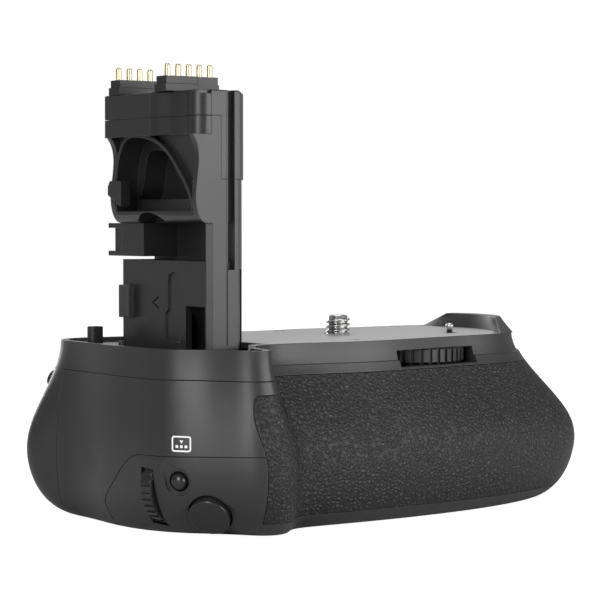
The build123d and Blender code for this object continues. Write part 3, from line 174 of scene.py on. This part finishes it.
light_panel("front_panel", (0.46, -0.98, 0.22), (1.2, 0.50), 5.0)
light_panel("left_panel", (-0.90, -0.50, 0.38), (0.42, 0.7), 7.5)
light_panel("rim_panel", (0.06, 1.05, 0.22), (0.32, 0.45), 5.0)
light_panel("top_panel", (0.10, 0.15, 0.95), (0.6, 0.5), 2.6)
light_panel("back_panel", (0.45, 0.85, 0.45), (0.7, 0.4), 1.6)
print("lights", len(bpy.data.lights))

# %% [markdown]
# Every finish is one small recipe: a base colour, a roughness and a relief. Moulded edges are
# never knife-sharp. The CAD solids could be bevelled, but their meshes stay as they are, so each
# finish rounds the edges a little where the surface is shaded.

# %% Finish helpers
EDGE_ROUND = 0.00025
EDGE_SAMPLES = 6


def finish(name, colour, roughness, specular=0.5, metallic=0.0, edge=EDGE_ROUND):
    """A material with rounded edges, and the nodes that its relief is added to."""
    material = bpy.data.materials.new(name)
    material.use_nodes = True
    tree = material.node_tree
    surface = tree.nodes["Principled BSDF"]
    surface.inputs["Base Color"].default_value = (*colour, 1)
    surface.inputs["Roughness"].default_value = roughness
    surface.inputs["Metallic"].default_value = metallic
    surface.inputs["Specular IOR Level"].default_value = specular
    rounding = tree.nodes.new("ShaderNodeBevel")
    rounding.samples = EDGE_SAMPLES
    rounding.inputs["Radius"].default_value = edge
    tree.links.new(rounding.outputs[0], surface.inputs["Normal"])
    return material, tree, surface, rounding


def add_relief(tree, surface, rounding, height, depth):
    """Raises the surface by a height pattern, on top of the rounded edges."""
    bump = tree.nodes.new("ShaderNodeBump")
    bump.inputs["Distance"].default_value = depth
    bump.inputs["Strength"].default_value = 1.0
    tree.links.new(height, bump.inputs["Height"])
    tree.links.new(rounding.outputs[0], bump.inputs["Normal"])
    tree.links.new(bump.outputs[0], surface.inputs["Normal"])


def pattern(tree, kind, **values):
    """A texture node on the object's own coordinates."""
    place = tree.nodes.new("ShaderNodeTexCoord")
    node = tree.nodes.new(kind)
    for key, value in values.items():
        if key in ("feature", "distance"):
            setattr(node, key, value)
        else:
            node.inputs[key.replace("_", " ").title()].default_value = value
    tree.links.new(place.outputs["Object"], node.inputs["Vector"])
    return node


def vary_roughness(tree, surface, source, low, high):
    """Lets a pattern move the roughness between two values."""
    span = tree.nodes.new("ShaderNodeMapRange")
    span.inputs["To Min"].default_value = low
    span.inputs["To Max"].default_value = high
    tree.links.new(source, span.inputs["Value"])
    tree.links.new(span.outputs[0], surface.inputs["Roughness"])


def tint(tree, surface, source, dark, light):
    """Lets a pattern move the base colour between two colours."""
    blend = tree.nodes.new("ShaderNodeMix")
    blend.data_type = "RGBA"
    blend.inputs["A"].default_value = (*dark, 1)
    blend.inputs["B"].default_value = (*light, 1)
    tree.links.new(source, blend.inputs["Factor"])
    tree.links.new(blend.outputs["Result"], surface.inputs["Base Color"])


print("edges rounded mm", EDGE_ROUND * 1000)

# %% [markdown]
# The body is black plastic with a satin surface. Its mould is eroded by sparks, which leaves a
# very fine grain. A flat black would look like rubber or paint, so a fine noise gives the grain
# and a broad one lets the gloss wander a little.

# %% Plastics
GRAIN_DARK, GRAIN_LIGHT = 0.8, 1.2
GLOSS_SCALE = 60.0
SMOOTHER, ROUGHER = 0.05, 0.06


def spark_plastic(name, colour, roughness, grain=0.000004, scale=4200):
    """Moulded plastic with the fine spark-eroded texture of a camera body."""
    material, tree, surface, rounding = finish(name, colour, roughness)
    fine = pattern(tree, "ShaderNodeTexNoise", scale=scale, detail=3.0, roughness=0.6)
    broad = pattern(tree, "ShaderNodeTexNoise", scale=GLOSS_SCALE, detail=4.0)
    add_relief(tree, surface, rounding, fine.outputs["Fac"], grain)
    vary_roughness(
        tree, surface, broad.outputs["Fac"], roughness - SMOOTHER, roughness + ROUGHER
    )
    dark = [c * GRAIN_DARK for c in colour]
    light = [c * GRAIN_LIGHT for c in colour]
    tint(tree, surface, fine.outputs["Fac"], dark, light)
    return material


shell_black = spark_plastic("shell_black", (0.018, 0.0182, 0.019), 0.40)
tower_black = spark_plastic("tower_black", (0.014, 0.0143, 0.015), 0.34, grain=0.0000015)
dark_plastic = spark_plastic("dark_plastic", (0.008, 0.008, 0.0085), 0.42, grain=0.000002)
button_black = spark_plastic("button_black", (0.012, 0.012, 0.0125), 0.22, grain=0.000002)
switch_grey = spark_plastic("switch_grey", (0.09, 0.09, 0.10), 0.5)
pad_grey = spark_plastic("pad_grey", (0.035, 0.035, 0.036), 0.7, grain=0.00012, scale=900)
print("finishes so far", len(bpy.data.materials))

# %% [markdown]
# The leather-look rubber has pebbles of about one millimetre with fine creases on them. Voronoi
# cells give such pebbles: the distance to a cell's edge, smoothed, is a dome that drops into the
# grooves between the cells. The grooves are painted darker than the domes, as painted shade.

# %% Leather
PEBBLE_SCALE = 900.0
DOME_REACH = 0.42
CREASE_SCALE = 2400.0
CREASE_SHARE = 0.25
PEBBLE_RELIEF = 0.00022

leather, tree, surface, rounding = finish(
    "pebbled_leather", (0.012, 0.012, 0.0125), 0.46, specular=0.42
)
pebbles = pattern(tree, "ShaderNodeTexVoronoi", scale=PEBBLE_SCALE, feature="DISTANCE_TO_EDGE")
domes = tree.nodes.new("ShaderNodeMapRange")
domes.interpolation_type = "SMOOTHSTEP"
domes.inputs["From Max"].default_value = DOME_REACH
tree.links.new(pebbles.outputs["Distance"], domes.inputs["Value"])
creases = pattern(tree, "ShaderNodeTexNoise", scale=CREASE_SCALE, detail=3.0, roughness=0.6)
height = tree.nodes.new("ShaderNodeMath")
height.operation = "MULTIPLY_ADD"
height.inputs[1].default_value = CREASE_SHARE
tree.links.new(creases.outputs["Fac"], height.inputs[0])
tree.links.new(domes.outputs[0], height.inputs[2])
add_relief(tree, surface, rounding, height.outputs[0], PEBBLE_RELIEF)
# Painted shade: the grooves between the pebbles get a darker base colour than the domes.
tint(tree, surface, domes.outputs[0], (0.004, 0.004, 0.0042), (0.016, 0.016, 0.0165))
vary_roughness(tree, surface, creases.outputs["Fac"], 0.34, 0.62)
print("pebbles mm", round(1000 / PEBBLE_SCALE, 2))

# %% [markdown]
# The plate that the camera stands on is painted a light grey. It needs no relief, only a haze
# that changes its gloss from place to place.

# %% Plate paint
HAZE_SCALE = 45.0

plate_grey, tree, surface, rounding = finish(
    "plate_grey", (0.27, 0.27, 0.275), 0.36, specular=0.45
)
haze = pattern(tree, "ShaderNodeTexNoise", scale=HAZE_SCALE, detail=5.0)
vary_roughness(tree, surface, haze.outputs["Fac"], 0.32, 0.42)
print("plate", plate_grey.name)

# %% [markdown]
# The metal pieces are a turned steel screw, blackened screws, gold-plated contacts and copper.
# Machining leaves fine marks, and a fine noise is enough for them on pieces this small.

# %% Metals
MARK_SCALE = 2600.0
MARK_RELIEF = 0.000004
METAL_EDGE = 0.0001


def machined_metal(name, colour, roughness):
    """Metal with the fine marks that machining leaves."""
    material, tree, surface, rounding = finish(
        name, colour, roughness, metallic=1.0, edge=METAL_EDGE
    )
    marks = pattern(tree, "ShaderNodeTexNoise", scale=MARK_SCALE, detail=2.0)
    add_relief(tree, surface, rounding, marks.outputs["Fac"], MARK_RELIEF)
    vary_roughness(tree, surface, marks.outputs["Fac"], roughness * 0.75, roughness * 1.3)
    return material


bright_steel = machined_metal("bright_steel", (0.62, 0.61, 0.60), 0.24)
black_steel = machined_metal("black_steel", (0.06, 0.06, 0.062), 0.35)
gold_plate = machined_metal("gold_plate", (0.58, 0.50, 0.32), 0.3)
copper_plate = machined_metal("copper_plate", (0.75, 0.52, 0.33), 0.3)
print("finishes so far", len(bpy.data.materials))

# %% [markdown]
# Circuit boards show their tracks as low ridges under the lacquer. Voronoi cells measured along
# the axes have the square corners of such tracks. The seal is soft and matt, with a little dust.

# %% Boards and seal
TRACK_SCALE = 420.0
TRACK_RELIEF = 0.00003
DUST_SCALE = 900.0
DUST_RELIEF = 0.00001


def coated_board(name, dark, light):
    """Circuit board with its tracks showing through the lacquer."""
    material, tree, surface, rounding = finish(name, light, 0.3)
    tracks = pattern(tree, "ShaderNodeTexVoronoi", scale=TRACK_SCALE, distance="MANHATTAN")
    add_relief(tree, surface, rounding, tracks.outputs["Distance"], TRACK_RELIEF)
    tint(tree, surface, tracks.outputs["Distance"], dark, light)
    return material


board_green = coated_board("board_green", (0.01, 0.10, 0.04), (0.02, 0.16, 0.07))
board_black = coated_board("board_black", (0.006, 0.006, 0.006), (0.014, 0.014, 0.014))

soft_seal, tree, surface, rounding = finish("soft_seal", (0.015, 0.015, 0.016), 0.75)
dust = pattern(tree, "ShaderNodeTexNoise", scale=DUST_SCALE, detail=3.0)
add_relief(tree, surface, rounding, dust.outputs["Fac"], DUST_RELIEF)
print("finishes so far", len(bpy.data.materials))

# %% [markdown]
# The record names a material slot for every node, so one table from slot to finish dresses the
# whole CAD model. The board in the tower is lacquered black, unlike the one in the body.

# %% Dress the CAD nodes
FINISH_OF_SLOT = {
    "shell": shell_black, "panel": shell_black, "leather": leather, "plate": plate_grey,
    "tower": tower_black, "dark": dark_plastic, "button": button_black, "steel": bright_steel,
    "dark_steel": black_steel, "gold": gold_plate, "copper": copper_plate,
    "board": board_green, "seal": soft_seal, "pad": pad_grey, "switch": switch_grey,
}
FINISH_OF_NODE = {"tower_board": board_black}
slot_of = {s["node"]: s["material_slot"] for s in frame["record"]["subparts"]}
for name, node in nodes.items():
    node.data.materials.clear()
    node.data.materials.append(FINISH_OF_NODE.get(name, FINISH_OF_SLOT[slot_of[name]]))
print("dressed", len(slot_of), "nodes with", len(FINISH_OF_SLOT), "finishes")

# %% [markdown]
# Every new piece goes the same way: a shape in a bmesh, its doubles merged and its faces turned
# outwards, and a mesh that rides on a body of the CAD model. Round pieces are spun from half of
# their section, as on a lathe.

# %% Piece helpers
MERGE_DISTANCE = 1e-6
LATHE_STEPS = 64


def piece(name, mesh, body, material, slot, *replaced):
    """Puts a finished mesh in the scene as a piece that rides on a body."""
    obj = bpy.data.objects.new(name, mesh)
    bpy.context.scene.collection.objects.link(obj)
    mesh.materials.clear()
    mesh.materials.append(material)
    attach(obj, body)
    if replaced:
        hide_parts(*replaced)


def to_mesh(bm, name):
    """Merges doubles, turns the faces outwards and hands back a smooth mesh."""
    bmesh.ops.remove_doubles(bm, verts=bm.verts, dist=MERGE_DISTANCE)
    bmesh.ops.recalc_face_normals(bm, faces=bm.faces)
    mesh = bpy.data.meshes.new(name)
    bm.to_mesh(mesh)
    bm.free()
    for polygon in mesh.polygons:
        polygon.use_smooth = True
    return mesh


def turned_section(bm, profile):
    """Spins a profile of radius and height once about the Z axis."""
    line = [bm.verts.new((radius, 0, height)) for radius, height in profile]
    edges = [bm.edges.new(pair) for pair in zip(line, line[1:])]
    bmesh.ops.spin(
        bm, geom=line + edges, cent=(0, 0, 0), axis=(0, 0, 1), dvec=(0, 0, 0),
        angle=2 * math.pi, steps=LATHE_STEPS, use_merge=True, use_duplicate=False,
    )


print("lathe steps", LATHE_STEPS)

# %% [markdown]
# The camera screw is a quarter inch across, with twenty threads to the inch. Under the plate it
# widens to a barrel with a flange, and a thin stem below carries its gear. The core is turned
# from its section.

# %% Screw core
SCREW_RADIUS = 0.003175
THREAD_DEPTH = 0.00062
STEM_RADIUS, STEM_TOP = 0.0014, -0.0089
BARREL_RADIUS, BARREL_TOP = 0.0029, 0.0001
FLANGE_RADIUS, FLANGE_BOTTOM, FLANGE_TOP = 0.0038, -0.0034, -0.0028
ROOT_START = 0.0003
TIP_LENGTH, TIP_INSET = 0.00035, 0.0004

root_radius = SCREW_RADIUS - THREAD_DEPTH
low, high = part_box("camera_screw")
bm = bmesh.new()
turned_section(bm, [
    (0, low.z), (STEM_RADIUS, low.z), (STEM_RADIUS, STEM_TOP), (BARREL_RADIUS, STEM_TOP),
    (BARREL_RADIUS, FLANGE_BOTTOM), (FLANGE_RADIUS, FLANGE_BOTTOM), (FLANGE_RADIUS, FLANGE_TOP),
    (BARREL_RADIUS, FLANGE_TOP), (BARREL_RADIUS, BARREL_TOP), (root_radius, ROOT_START),
    (root_radius, high.z - TIP_LENGTH), (root_radius - TIP_INSET, high.z), (0, high.z),
])
core = to_mesh(bm, "screw_core")
piece("screw_core", core, "screw", bright_steel, "steel", "camera_screw")
print("screw core faces", len(core.polygons))

# %% [markdown]
# A thread could be faked with rings, but its slope shows at the sides. One tooth is drawn as
# four points and spun upwards about the axis, which makes the helix. Its root lies a little
# inside the core.

# %% Screw thread
PITCH = 0.00127
ROOT_SINK = 0.0001
FLANK_TOP, CREST_TOP, TOOTH_TOP = PITCH * 0.38, PITCH * 0.52, PITCH * 0.90
THREAD_START = -0.0006
THREAD_TURNS = 3.25
STEPS_PER_TURN = 48

bm = bmesh.new()
tooth = [
    (root_radius - ROOT_SINK, 0), (SCREW_RADIUS, FLANK_TOP), (SCREW_RADIUS, CREST_TOP),
    (root_radius - ROOT_SINK, TOOTH_TOP),
]
line = [bm.verts.new((radius, 0, THREAD_START + height)) for radius, height in tooth]
edges = [bm.edges.new(pair) for pair in zip(line, line[1:] + line[:1])]
bmesh.ops.spin(
    bm, geom=line + edges, cent=(0, 0, 0), axis=(0, 0, 1),
    dvec=(0, 0, PITCH / STEPS_PER_TURN), angle=2 * math.pi * THREAD_TURNS,
    steps=round(STEPS_PER_TURN * THREAD_TURNS), use_merge=False, use_duplicate=False,
)
bmesh.ops.holes_fill(bm, edges=bm.edges, sides=4)
piece("screw_thread", to_mesh(bm, "screw_thread"), "screw", bright_steel, "steel")
print("screw turns", THREAD_TURNS, "pitch mm", PITCH * 1000)

# %% [markdown]
# The locating pin drops into a hole in the camera's base. It has a rounded head that is a little
# wider than its neck, and being round it is turned as the screw's core is.

# %% Locating pin
SHANK = 0.0005
NECK, NECK_TOP = 0.00078, 0.0011
HEAD, HEAD_BOTTOM, HEAD_TOP = 0.00105, 0.0016, 0.0019
CROWN, CROWN_HEIGHT = 0.0007, 0.00235
TIP = 0.0003

low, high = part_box("locating_pin")
pin_axis = ((low.x + high.x) / 2, (low.y + high.y) / 2)
bm = bmesh.new()
turned_section(bm, [
    (0, low.z), (SHANK, low.z), (SHANK, 0), (NECK, 0), (NECK, NECK_TOP), (HEAD, HEAD_BOTTOM),
    (HEAD, HEAD_TOP), (CROWN, CROWN_HEIGHT), (TIP, high.z), (0, high.z),
])
bmesh.ops.translate(bm, vec=(*pin_axis, 0), verts=bm.verts)
piece("headed_pin", to_mesh(bm, "headed_pin"), "grip", bright_steel, "steel", "locating_pin")
print("pin head mm", HEAD * 2000)

# %% [markdown]
# The sign above the buttons is a small rounded frame printed in white, with a mark and three
# squares inside. Printing has almost no thickness, and the shell is curved there. So flat shapes
# are drawn on an upright plane, cut finely enough to bend, and each of their points is dropped
# onto the shell along the line of sight of that plane.

# %% Printed sign
SIGN_LIFT = 0.00004
SIGN_CENTRE = (-0.0366, -0.0217)
SIGN_SIZE = (0.0045, 0.0036)
SIGN_LINE = 0.00036
SIGN_CORNER, CORNER_CUTS = 0.0006, 6
SQUARE_RADIUS, SQUARE_SPACING, SQUARE_HEIGHT = 0.00044, 0.00105, -0.0006
MARK_RADIUS, MARK_HEIGHT = 0.0005, 0.00055
BEND_CUTS = 4
SIGHT_START = 0.1
SIGHT_TURN = math.radians(35.4)

sight_out = Vector((-math.sin(SIGHT_TURN), -math.cos(SIGHT_TURN), 0))
sight_along = Vector((math.cos(SIGHT_TURN), -math.sin(SIGHT_TURN), 0))
sign_ground = BVHTree.FromObject(nodes["front_shell"], bpy.context.evaluated_depsgraph_get())


def dropped(x, z):
    """The shell's surface behind a point of the upright plane."""
    start = sight_along * x + Vector((0, 0, z)) + sight_out * SIGHT_START
    place, normal, *_ = sign_ground.ray_cast(start, -sight_out)
    return place + normal * SIGN_LIFT


def rounded_box(bm, width, height):
    """A flat box with round corners, about the sign's centre."""
    made = bmesh.ops.create_grid(bm, x_segments=1, y_segments=1, size=0.5)
    bmesh.ops.scale(bm, vec=(width, height, 1), verts=made["verts"])
    bmesh.ops.bevel(
        bm, geom=made["verts"], offset=SIGN_CORNER, segments=CORNER_CUTS, profile=0.5,
        affect="VERTICES", material=-1,
    )
    return bm.faces[:]


def flat_shape(bm, sides, radius, turn, centre):
    """A filled shape of equal sides, turned and placed on the plane."""
    made = bmesh.ops.create_circle(bm, cap_ends=True, segments=sides, radius=radius)["verts"]
    bmesh.ops.rotate(bm, cent=(0, 0, 0), matrix=Matrix.Rotation(turn, 3, "Z"), verts=made)
    bmesh.ops.translate(bm, vec=(*centre, 0), verts=made)


bm = bmesh.new()
faces = rounded_box(bm, *SIGN_SIZE)
bmesh.ops.inset_individual(bm, faces=faces, thickness=SIGN_LINE, depth=0)
bmesh.ops.delete(bm, geom=faces, context="FACES_ONLY")
for step in (-1, 0, 1):
    flat_shape(bm, 4, SQUARE_RADIUS, math.pi / 4, (step * SQUARE_SPACING, SQUARE_HEIGHT))
flat_shape(bm, 3, MARK_RADIUS, math.pi, (0, MARK_HEIGHT))
bmesh.ops.triangulate(bm, faces=bm.faces)
bmesh.ops.subdivide_edges(bm, edges=bm.edges, cuts=BEND_CUTS, use_grid_fill=True)
for vert in bm.verts:
    vert.co = dropped(SIGN_CENTRE[0] + vert.co.x, SIGN_CENTRE[1] + vert.co.y)
sign_mesh = bpy.data.meshes.new("printed_sign")
bm.to_mesh(sign_mesh)
bm.free()

sign_white, tree, surface, rounding = finish("sign_white", (0.8, 0.8, 0.8), 0.5)
ink = pattern(tree, "ShaderNodeTexNoise", scale=3000.0)
vary_roughness(tree, surface, ink.outputs["Fac"], 0.45, 0.6)
piece("printed_sign", sign_mesh, "grip", sign_white, "switch")
print("sign faces", len(sign_mesh.polygons))
